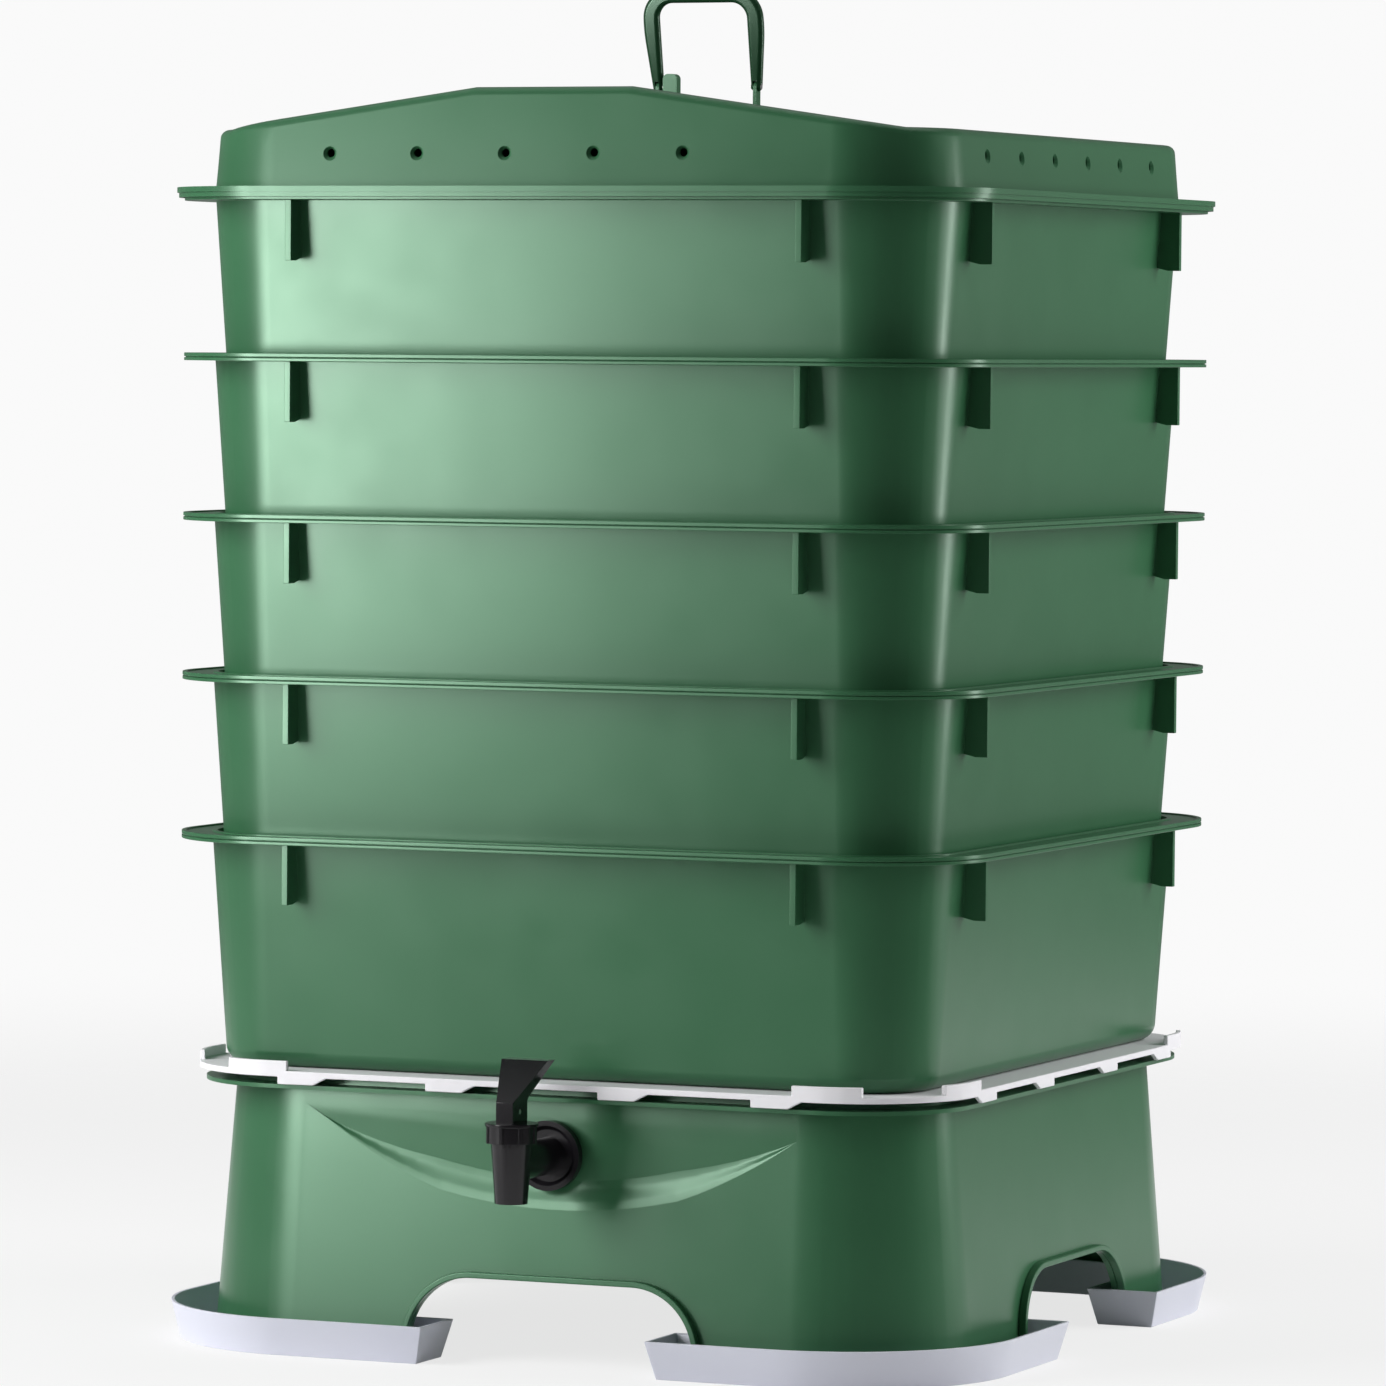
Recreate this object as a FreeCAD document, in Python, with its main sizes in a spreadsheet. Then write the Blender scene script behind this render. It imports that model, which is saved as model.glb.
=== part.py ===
import FreeCAD, Part
import math
import os
import re
import Sketcher

# Wormery: five nesting trays under a gabled lid, on a collector stand with a tap,
# whose four legs stand in moat pans. Millimetres, +Z up, the floor at z = 0.

# Driving sizes
SIZES = {
    # trays
    "tray_wall_half": 195.3,
    "tray_corner": 46.0,
    "tray_draft": 4.0,
    "tray_height": 114.4,
    "tray_wall": 2.5,
    "tray_floor": 2.5,
    "tray_pitch": 78.4,
    "tray_foot_round": 8.5,
    "tray_flange_half": 210.5,
    "tray_flange_thick": 3.8,
    "bead_width": 2.4,
    "bead_height": 0.7,
    "flange_groove_level": 1.5,
    "flange_groove_height": 0.5,
    "flange_groove_depth": 0.8,
    "fin_offset": 133.7,
    "fin_thick": 3.2,
    "fin_inset": 5.5,
    "fin_drop": 29.5,
    "fin_rise": 1.7,
    "fin_flat": 6.0,
    "ledge_offset": 95.0,
    "ledge_thick": 3.0,
    "ledge_reach": 16.0,
    "ledge_drop": 40.0,
    "drain_hole": 7.0,
    "drain_pitch": 28.0,
    "drain_count": 11,
    # lid
    "lid_flange_half": 214.0,
    "lid_flange_corner": 64.0,
    "lid_flange_thick": 2.6,
    "lid_lip_inset": 0.9,
    "lid_lip_thick": 2.0,
    "lid_lip_drop": 2.4,
    "lid_skirt_half": 196.6,
    "lid_corner": 51.0,
    "lid_draft": 4.8,
    "lid_wall": 2.5,
    "lid_eave_height": 31.0,
    "lid_ridge_height": 50.8,
    "lid_ridge_half": 41.0,
    "lid_roof_half": 180.0,
    "roof_fall": 10.2,
    "lid_round": 4.5,
    "vent_hole": 4.2,
    "vent_rim": 1.4,
    "vent_pitch": 46.5,
    "vent_height": 18.9,
    # handle
    "handle_foot_centre": 26.6,
    "handle_foot_width": 5.2,
    "handle_thick": 5.2,
    "handle_bow": 32.5,
    "handle_bow_height": 28.0,
    "bow_return": 0.5,
    "handle_inner_height": 42.5,
    "handle_bar": 7.0,
    "handle_outer_round": 15.0,
    "handle_inner_round": 8.0,
    "handle_bow_round": 80.0,
    "handle_edge_round": 2.2,
    "handle_lean": 10.5,
    "pivot_height": 6.0,
    "ear_thick": 2.0,
    "pin_radius": 1.5,
    "pin_clearance": 0.05,
    "side_clearance": 0.1,
    "stop_width": 7.7,
    "stop_depth": 5.0,
    "stop_height": 12.5,
    # drain frame
    "frame_half": 203.0,
    "frame_corner": 60.0,
    "frame_thick": 3.0,
    "frame_opening": 165.0,
    "frame_tab_thick": 2.4,
    "frame_tab_up": 4.8,
    "frame_tab_down": 3.6,
    "up_tab_centre": 150.0,
    "up_tab_length": 34.0,
    "down_tab_near": 45.5,
    "down_tab_far": 125.0,
    "down_tab_length": 26.0,
    # collector stand
    "stand_top": 134.5,
    "stand_top_half": 188.2,
    "stand_corner": 57.7,
    "stand_draft": 4.6,
    "stand_wall": 3.0,
    "stand_rim_half": 200.0,
    "stand_rim_corner": 58.0,
    "stand_rim_inner": 176.0,
    "stand_rim_drop": 3.9,
    "stand_rim_thick": 2.0,
    "sump_floor": 88.0,
    "sump_slope": 1.2,
    "arch_shift": 7.0,
    "arch_top": 41.0,
    "arch_round": 33.0,
    "front_arch_half": 75.5,
    "side_arch_half": 71.0,
    "collar_width": 3.0,
    "collar_proud": 4.0,
    "tap_flat": 189.3,
    "tap_flat_sweep": 268.7,
    "tap_flat_bottom": 84.0,
    "tap_flat_wall": 5.3,
    "tap_backing_half": 110.0,
    # moat pans
    "moat_outer": 17.62,
    "moat_inner": 8.38,
    "pan_draft": 13.5,
    "pan_height": 18.5,
    "pan_wall": 1.8,
    "front_pan_reach": 12.5,
    "side_pan_reach": 3.0,
    # tap
    "tap_shift": 3.0,
    "tap_height": 101.9,
    "tap_reach": 47.5,
    "tap_bore": 8.3,
    "shank_radius": 8.0,
    "shank_length": 24.0,
    "washer_thick": 2.0,
    "washer_radius": 15.0,
    "tap_flange_radius": 17.0,
    "tap_flange_thick": 4.5,
    "tap_dish": 2.0,
    "tap_dish_radius": 14.6,
    "barrel_radius": 8.9,
    "barrel_bore": 5.5,
    "nut_radius": 14.0,
    "nut_thick": 7.0,
    "nozzle_bottom": 83.0,
    "nozzle_tip_radius": 7.9,
    "nozzle_bore": 5.6,
    "nozzle_top": 112.0,
    "nozzle_top_radius": 10.0,
    "seat_height": 92.0,
    "seat_thick": 2.0,
    "seat_hole": 4.2,
    "chamber_radius": 7.2,
    "bonnet_radius": 12.1,
    "bonnet_height": 9.6,
    "bonnet_top": 2.6,
    "bonnet_lip": 0.75,
    "bonnet_lip_height": 1.4,
    "rib_width": 2.0,
    "rib_proud": 0.6,
    "rib_count": 8,
    "stem_radius": 2.4,
    "stem_clearance": 0.1,
    "stem_collar_radius": 5.2,
    "stem_collar_thick": 1.5,
    "cup_radius": 6.7,
    "cup_height": 5.5,
    "spring_wire": 0.5,
    "spring_radius": 4.2,
    "spring_turns": 5,
    "lever_width": 8.8,
    "lever_depth": 17.0,
    "lever_pin_height": 5.5,
    "lever_block_height": 10.2,
    "lever_top_height": 28.9,
    "lever_top_half": 12.15,
    "lever_lean": 23.1,
    "lever_tip_depth": 8.5,
    "lever_pin_radius": 1.25,
    "lever_slot_half": 6.5,
}

# Sizes that follow from the driving ones
DERIVED = {
    "tray_q": "tray_wall_half - tray_corner",
    "tray_foot_half": "tray_wall_half - tray_height * tan(tray_draft)",
    "tray_inner_foot": "tray_foot_half - tray_wall + tray_floor * tan(tray_draft)",
    "tray_inner_top": "tray_wall_half - tray_wall",
    "flange_under": "tray_height - tray_flange_thick",
    "fin_root_top": "tray_wall_half - tray_flange_thick * tan(tray_draft) - tray_wall / 2",
    "fin_root_low": "fin_root_top - fin_drop * tan(tray_draft)",
    "ledge_wall": "tray_wall_half - (tray_height - tray_pitch) * tan(tray_draft) - tray_wall / 2",
    "ledge_root": "ledge_wall - ledge_drop * tan(tray_draft)",
    "fin_edge": "tray_flange_half - fin_inset",
    "trays_bottom": "stand_top + frame_thick",
    "lid_bottom": "trays_bottom + 4 * tray_pitch + tray_height",
    "lid_cavity_half": "lid_skirt_half - lid_wall",
    "roof_rise": "lid_ridge_height - lid_eave_height",
    "rear_roof_half": "lid_ridge_half + (lid_roof_half - lid_ridge_half) * (1 - roof_fall / roof_rise)",
    "lid_lip_half": "lid_flange_half - lid_lip_inset",
    "lid_lip_corner": "lid_flange_corner - lid_lip_inset",
    "ridge_top": "lid_bottom + lid_ridge_height",
    "pivot_level": "ridge_top + pivot_height",
    "foot_outer": "handle_foot_centre + handle_foot_width / 2",
    "foot_inner": "handle_foot_centre - handle_foot_width / 2",
    "ear_slot": "ear_thick + 2 * side_clearance",
    "handle_top": "handle_inner_height + handle_bar",
    "stand_q": "stand_top_half - stand_corner",
    "stand_foot": "pan_wall",
    "stand_rise": "stand_top - stand_foot",
    "stand_foot_half": "stand_top_half + stand_rise * tan(stand_draft)",
    "pan_foot_half": "stand_foot_half + moat_outer",
    "pan_foot_corner": "pan_foot_half - stand_q",
    "pan_inner_half": "stand_foot_half - stand_wall - moat_inner",
    "front_pan_gap": "front_arch_half - front_pan_reach",
    "side_pan_gap": "side_arch_half - side_pan_reach",
    "sump_wall_half": "stand_top_half + (stand_top - sump_floor) * tan(stand_draft) - stand_wall / 2",
    "rim_under": "stand_top - stand_rim_drop - stand_rim_thick",
    "tap_back": "tap_flat - tap_flat_wall",
    "tap_axis": "tap_flat + tap_reach",
    "tap_front": "tap_axis + bonnet_radius + bonnet_lip",
    "pan_rim_half": "pan_foot_half + pan_height * tan(pan_draft)",
    "axis_y": "(tap_front - pan_rim_half) / 2",
    "bonnet_level": "nozzle_top + bonnet_height",
    "lever_pin_level": "bonnet_level + lever_pin_height",
    "seat_level": "seat_height + seat_thick",
    "cup_level": "seat_level + cup_height",
    "spring_bottom": "cup_level + stem_collar_thick",
    "bonnet_under": "bonnet_level - bonnet_top",
}

doc = FreeCAD.newDocument("wormery")


def make_sizes():
    """Writes the driving sizes into the sheet, one row each, and the derived ones beside it."""
    sheet = doc.addObject("Spreadsheet::Sheet", "Sizes")
    for row, (name, size) in enumerate(SIZES.items(), start=1):
        sheet.set(f"A{row}", name)
        sheet.set(f"B{row}", str(size))
        sheet.setAlias(f"B{row}", name)
    derived = doc.addObject("App::VarSet", "Derived")
    for name in DERIVED:
        derived.addProperty("App::PropertyFloat", name)
    doc.recompute()
    for name, text in DERIVED.items():
        derived.setExpression(name, formula(text))
    doc.recompute()


def formula(text):
    """Puts the sheet's or the derived set's name before each size that a formula names."""

    def full_name(match):
        word = match.group(0)
        if word in SIZES:
            return "Sizes." + word
        if word in DERIVED:
            return "Derived." + word
        return word

    return re.sub(r"[a-z_][a-z_0-9]*", full_name, text)


def bind(item, prop, text):
    item.setExpression(prop, formula(text))


def value(name):
    """The present number of a driving or derived size."""
    holder = doc.Sizes if name in SIZES else doc.Derived
    return float(getattr(holder, name))


# Sketches and features

def new_body(label):
    body = doc.addObject("PartDesign::Body", label)
    body.Label = label
    return body


def origin_part(body, role):
    return next(item for item in body.Origin.OriginFeatures if item.Role == role)


def new_sketch(body, name, plane="XY_Plane", offset="0"):
    """A sketch on one of the body's origin planes, moved along the plane's normal by offset."""
    sketch = body.newObject("Sketcher::SketchObject", name)
    sketch.AttachmentSupport = [(origin_part(body, plane), "")]
    sketch.MapMode = "FlatFace"
    bind(sketch, "AttachmentOffset.Base.z", offset)
    return sketch


def dimension(sketch, kind, name, *where, drawn, size):
    """Adds a named dimension, first as the outline is drawn, then bound to the formula of its size."""
    index = sketch.addConstraint(Sketcher.Constraint(kind, *where, drawn))
    sketch.renameConstraint(index, name)
    bind(sketch, f"Constraints.{name}", size)


def rounded_rectangle(sketch, name, half_x, half_y, radius, x="0", y="0"):
    """A rectangle about (x, y) with four equal round corners."""
    span = 100.0
    corner = 10.0
    side = span - corner
    vector = FreeCAD.Vector
    starts = [(-side, -span), (span, -side), (side, span), (-span, side)]
    ends = [(side, -span), (span, side), (-side, span), (-span, -side)]
    centres = [(side, -side), (side, side), (-side, side), (-side, -side)]
    lines = []
    arcs = []
    for turn in range(4):
        line = Part.LineSegment(vector(*starts[turn], 0), vector(*ends[turn], 0))
        circle = Part.Circle(vector(*centres[turn], 0), vector(0, 0, 1), corner)
        first = math.radians(90 * turn - 90)
        lines.append(sketch.addGeometry(line, False))
        arcs.append(sketch.addGeometry(Part.ArcOfCircle(circle, first, first + math.pi / 2), False))
    for turn in range(4):
        sketch.addConstraint(Sketcher.Constraint("Tangent", lines[turn], 2, arcs[turn], 1))
        sketch.addConstraint(Sketcher.Constraint("Tangent", arcs[turn], 2, lines[(turn + 1) % 4], 1))
        level = "Horizontal" if turn % 2 == 0 else "Vertical"
        sketch.addConstraint(Sketcher.Constraint(level, lines[turn]))
        if turn:
            sketch.addConstraint(Sketcher.Constraint("Equal", arcs[0], arcs[turn]))
    dimension(sketch, "Radius", name + "_corner", arcs[0], drawn=corner, size=radius)
    sides = (
        ("DistanceY", "_low", -span, f"({y}) - ({half_y})"),
        ("DistanceX", "_right", span, f"({x}) + ({half_x})"),
        ("DistanceY", "_high", span, f"({y}) + ({half_y})"),
        ("DistanceX", "_left", -span, f"({x}) - ({half_x})"),
    )
    for line, (kind, ending, drawn, size) in zip(lines, sides):
        dimension(sketch, kind, name + ending, -1, 1, line, 1, drawn=drawn, size=size)


def rounded_square(sketch, name, half, radius):
    rounded_rectangle(sketch, name, half, half, radius)


def polygon(sketch, name, points):
    """A closed outline through points, each a pair of formulas."""
    count = len(points)
    turn = 2 * math.pi / count
    guess = [FreeCAD.Vector(math.cos((i + 0.3) * turn), math.sin((i + 0.3) * turn), 0) for i in range(count)]
    lines = [sketch.addGeometry(Part.LineSegment(guess[i], guess[(i + 1) % count]), False)
             for i in range(count)]
    for i in range(count):
        sketch.addConstraint(Sketcher.Constraint("Coincident", lines[i], 2, lines[(i + 1) % count], 1))
    for i, (x, y) in enumerate(points):
        dimension(sketch, "DistanceX", f"{name}_x{i}", -1, 1, lines[i], 1, drawn=guess[i].x, size=x)
        dimension(sketch, "DistanceY", f"{name}_y{i}", -1, 1, lines[i], 1, drawn=guess[i].y, size=y)


def circle(sketch, name, radius, x="0", y="0"):
    ring = sketch.addGeometry(Part.Circle(FreeCAD.Vector(1, 1, 0), FreeCAD.Vector(0, 0, 1), 1), False)
    dimension(sketch, "Radius", name + "_radius", ring, drawn=1, size=radius)
    dimension(sketch, "DistanceX", name + "_x", -1, 1, ring, 3, drawn=1, size=x)
    dimension(sketch, "DistanceY", name + "_y", -1, 1, ring, 3, drawn=1, size=y)


def pad(body, sketch, length, draft=None, midplane=False, back=False):
    feature = body.newObject("PartDesign::Pad", sketch.Name + "Pad")
    feature.Profile = sketch
    bind(feature, "Length", length)
    if draft:
        bind(feature, "TaperAngle", draft)
    feature.Midplane = midplane
    feature.Reversed = back
    return feature


def pocket(body, sketch, length, draft=None, midplane=False, back=False):
    """Cuts a sketch out of the body and checks that it took something away."""
    feature = body.newObject("PartDesign::Pocket", sketch.Name + "Pocket")
    doc.recompute()
    before = feature.BaseFeature.Shape.Volume
    feature.Profile = sketch
    bind(feature, "Length", length)
    if draft:
        bind(feature, "TaperAngle", draft)
    feature.Midplane = midplane
    feature.Reversed = back
    doc.recompute()
    if feature.Shape.Volume > before - 0.01:
        raise RuntimeError(f"{body.Label}: {sketch.Name} cuts nothing")
    return feature


def revolve(body, sketch, axis):
    """Turns a sketch once round one of the body's origin axes."""
    feature = body.newObject("PartDesign::Revolution", sketch.Name + "Turn")
    feature.Profile = sketch
    feature.ReferenceAxis = (origin_part(body, axis), [""])
    feature.Angle = 360
    return feature


def round_edges(body, base, radius, wanted):
    """Fillets the edges of base for which wanted(edge) holds."""
    doc.recompute()
    names = [f"Edge{i}" for i, edge in enumerate(base.Shape.Edges, start=1) if wanted(edge)]
    if not names:
        raise RuntimeError(f"{body.Label}: no edge to round on {base.Name}")
    feature = body.newObject("PartDesign::Fillet", base.Name + "Round")
    feature.Base = (base, names)
    bind(feature, "Radius", radius)
    return feature


def at_level(level):
    """Picks the edges that lie flat at a height."""

    def wanted(edge):
        box = edge.BoundBox
        return abs(box.ZMin - level) < 0.01 and abs(box.ZMax - level) < 0.01

    return wanted


def multi_transform(body, name, originals, steps):
    """Repeats features by several patterns in turn; each step is a type, its reference and its settings."""
    feature = body.newObject("PartDesign::MultiTransform", name)
    feature.Originals = originals
    parts = []
    for index, (kind, prop, role, settings) in enumerate(steps):
        step = body.newObject("PartDesign::" + kind, f"{name}Step{index}")
        setattr(step, prop, (origin_part(body, role), [""]))
        for setting, text in settings.items():
            bind(step, setting, text)
        parts.append(step)
    feature.Transformations = parts
    body.Tip = feature
    return feature


def boolean(kind, label, base, *tools):
    """A Part boolean of whole objects: Cut and Common take one tool, MultiFuse takes any number."""
    feature = doc.addObject("Part::" + kind, label)
    feature.Label = label
    if kind == "MultiFuse":
        feature.Shapes = [base, *tools]
    else:
        feature.Base = base
        feature.Tool = tools[0]
    feature.Refine = True
    return feature


def box(label, x, y, z, length, width, height):
    """A block whose low corner and sides are formulas."""
    block = doc.addObject("Part::Box", label)
    for prop, text in (("Length", length), ("Width", width), ("Height", height)):
        bind(block, prop, text)
    for letter, text in (("x", x), ("y", y), ("z", z)):
        bind(block, "Placement.Base." + letter, text)
    return block


def place(item, x="0", y="axis_y", z="0"):
    """Puts a finished piece on the stack's axis at its height."""
    bind(item, "Placement.Base.x", x)
    bind(item, "Placement.Base.y", y)
    bind(item, "Placement.Base.z", z)
    return item


def rod(label, radius, length, x, z):
    """A cylinder along X that starts at x."""
    bar = doc.addObject("Part::Cylinder", label)
    bind(bar, "Radius", radius)
    bind(bar, "Height", length)
    bar.Placement.Rotation = FreeCAD.Rotation(FreeCAD.Vector(0, 1, 0), 90)
    return place(bar, x, "0", z)


# Moat pans

def make_pan(label, side_x, side_y):
    """One corner pan: an L-shaped trough with sloping walls round a leg."""
    stock = new_body(label + "_stock")
    cavity = new_body(label + "_cavity")
    troughs = (
        (stock, "0", "0"),
        (cavity, "pan_wall", "pan_wall"),
    )
    for body, inset, level in troughs:
        slope = f"({level}) * tan(pan_draft)"
        outer = new_sketch(body, body.Name + "Outer", offset=level)
        rounded_square(outer, "outer", f"pan_foot_half - {inset} + {slope}",
                       f"pan_foot_corner - {inset} + {slope}")
        pad(body, outer, "pan_height - " + level, draft="pan_draft")
        inner = new_sketch(body, body.Name + "Inner", offset=level)
        inner_half = f"pan_inner_half + {inset} - {slope}"
        inner_corner = f"pan_foot_corner - (pan_foot_half - pan_inner_half) + {inset} - {slope}"
        rounded_square(inner, "inner", inner_half, inner_corner)
        pocket(body, inner, "pan_height - " + level, draft="0 - pan_draft", back=True)
    pieces = []
    for body, inset, level in troughs:
        slope = f"({level}) * tan(pan_draft)"
        quarter = new_body(body.Name + "_quarter")
        plan = new_sketch(quarter, quarter.Name + "Plan", offset=level)
        reach = "pan_foot_half * 2"
        x_end = f"({side_x}) * (front_pan_gap + ({side_x}) * arch_shift + {inset} - {slope})"
        y_end = f"({side_y}) * (side_pan_gap + ({side_y}) * arch_shift + {inset} - {slope})"
        corner = [(x_end, y_end), (f"({side_x}) * {reach}", y_end),
                  (f"({side_x}) * {reach}", f"({side_y}) * {reach}"), (x_end, f"({side_y}) * {reach}")]
        polygon(plan, "plan", corner)
        pad(quarter, plan, "pan_height - " + level, draft="pan_draft")
        pieces.append(boolean("Common", body.Name + "_arm", body, quarter))
    return place(boolean("Cut", label, pieces[0], pieces[1]))


# Collector stand

def stand_block(label, proud):
    """The stand's flared outline as a solid block, larger all round by proud."""
    body = new_body(label)
    foot = new_sketch(body, label + "Foot", offset="stand_foot")
    rounded_square(foot, "foot", f"stand_foot_half + ({proud})", f"stand_foot_half - stand_q + ({proud})")
    pad(body, foot, "stand_rise", draft="0 - stand_draft")
    return body


def arch_prism(label, half, grow, across, back):
    """A bar with an arch's section that runs from the middle out through one face of the stand."""
    body = new_body(label)
    sketch = new_sketch(body, label + "Outline", plane="XZ_Plane")
    half_height = "arch_top * 2"
    x = "arch_shift"
    rounded_rectangle(sketch, "arch", f"{half} + {grow}", f"{half_height} + {grow}", f"arch_round + {grow}",
                      x=x, y="arch_top - " + half_height)
    pad(body, sketch, "stand_rim_half * 2", back=back)
    if across:
        body.Placement.Rotation = FreeCAD.Rotation(FreeCAD.Vector(0, 0, 1), 90)
    return body


def make_stand():
    """Legs, sump floor, rim, arches, the flat that carries the tap, and a collar round each arch."""
    outer = stand_block("stand_outer", "0")
    core = stand_block("stand_core", "0 - stand_wall")
    shell = boolean("Cut", "stand_shell", outer, core)

    floor = new_body("stand_floor")
    plate = new_sketch(floor, "FloorPlate", offset="sump_floor - stand_wall")
    rounded_square(plate, "plate", "sump_wall_half", "sump_wall_half - stand_q")
    plate.AttachmentOffset = FreeCAD.Placement(FreeCAD.Vector(), FreeCAD.Rotation(FreeCAD.Vector(1, 0, 0), 1))
    bind(plate, "AttachmentOffset.Rotation.Angle", "sump_slope")
    pad(floor, plate, "stand_wall")

    rim = new_body("stand_rim")
    seat_half = "stand_top_half - stand_wall / 2"
    rings = (
        ("RimFlange", "stand_rim_half", "stand_rim_corner", "stand_rim_thick"),
        ("RimSeat", seat_half, f"{seat_half} - stand_q", "stand_top - rim_under"),
    )
    for name, half, corner, thick in rings:
        ring = new_sketch(rim, name, offset="rim_under")
        rounded_square(ring, "outer", half, corner)
        rounded_square(ring, "inner", "stand_rim_inner", "stand_rim_inner - stand_q")
        pad(rim, ring, thick)

    backing_low = "tap_flat_bottom - stand_wall * 2"
    backing_box = box("tap_backing_box", "arch_shift - tap_backing_half", "0 - stand_rim_half", backing_low,
                      "tap_backing_half * 2", "stand_rim_half - tap_back", f"rim_under - ({backing_low})")
    backing = boolean("Common", "tap_backing", backing_box, outer)

    collar_layer = boolean("Cut", "collar_layer", stand_block("collar_outer", "collar_proud"), outer)
    collars = []
    openings = []
    faces = (("front", "front_arch_half", False, False), ("rear", "front_arch_half", False, True),
             ("right", "side_arch_half", True, False), ("left", "side_arch_half", True, True))
    for name, half, across, back in faces:
        opening = arch_prism(name + "_arch", half, "0", across, back)
        bar = arch_prism(name + "_collar_bar", half, "collar_width", across, back)
        blank = boolean("Common", name + "_collar_blank", collar_layer, bar)
        collars.append(place(boolean("Cut", "arch_collar_" + name, blank, opening)))
        openings.append(opening)

    whole = boolean("MultiFuse", "stand_whole", shell, floor, rim, backing)
    sweep = doc.addObject("Part::Cylinder", "tap_flat_sweep_round")
    bind(sweep, "Radius", "tap_flat_sweep")
    bind(sweep, "Height", "stand_rim_half")
    sweep.Placement.Rotation = FreeCAD.Rotation(FreeCAD.Vector(1, 0, 0), 90)
    place(sweep, "arch_shift", "0 - tap_flat", "tap_flat_bottom + tap_flat_sweep")
    below_rim = box("tap_flat_box", "0 - stand_q", "0 - stand_rim_half * 2", "0",
                    "stand_q * 2", "stand_rim_half * 2", "rim_under")
    flat = boolean("Common", "tap_flat_cut", sweep, below_rim)
    hole = doc.addObject("Part::Cylinder", "tap_hole")
    bind(hole, "Radius", "tap_bore")
    bind(hole, "Height", "stand_rim_half")
    hole.Placement.Rotation = FreeCAD.Rotation(FreeCAD.Vector(1, 0, 0), 90)
    place(hole, "tap_shift", "0 - tap_back + stand_wall", "tap_height")
    cuts = boolean("MultiFuse", "stand_cuts", flat, hole, *openings)
    return [place(boolean("Cut", "collector_stand", whole, cuts)), *collars]


# Drain frame

def make_frame():
    """White sheet with an opening, hooked over the stand's rim by tabs and with lips round the tray."""
    sheet = new_body("frame_sheet")
    ring = new_sketch(sheet, "FrameRing")
    rounded_square(ring, "outer", "frame_half", "frame_corner")
    rounded_square(ring, "inner", "frame_opening", "frame_corner / 2")
    pad(sheet, ring, "frame_thick")

    band = new_body("frame_band")
    band_ring = new_sketch(band, "BandRing", offset="0 - frame_tab_down")
    rounded_square(band_ring, "outer", "frame_half", "frame_corner")
    rounded_square(band_ring, "inner", "frame_half - frame_tab_thick", "frame_corner - frame_tab_thick")
    pad(band, band_ring, "frame_tab_down + frame_thick + frame_tab_up")

    tabs = []
    rows = (
        ("up", ("up_tab_centre",), "up_tab_length", "0", "frame_thick + frame_tab_up"),
        ("down", ("down_tab_near", "down_tab_far"), "down_tab_length", "0 - frame_tab_down",
         "frame_tab_down + frame_thick"),
    )
    for name, centres, length, level, height in rows:
        for centre in centres:
            for sign in ("1", "-1"):
                middle = f"({sign}) * {centre}"
                label = f"{name}_{centre}_{'right' if sign == '1' else 'left'}"
                tabs.append(box(label + "_x", f"{middle} - {length} / 2", "0 - frame_half * 2", level,
                                length, "frame_half * 4", height))
                tabs.append(box(label + "_y", "0 - frame_half * 2", f"{middle} - {length} / 2", level,
                                "frame_half * 4", length, height))
    stripes = boolean("MultiFuse", "frame_stripes", *tabs)
    stripes.Refine = False
    frame = boolean("MultiFuse", "drain_frame", sheet, boolean("Common", "frame_tabs", band, stripes))
    return place(frame, z="stand_top")


# Trays

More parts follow.
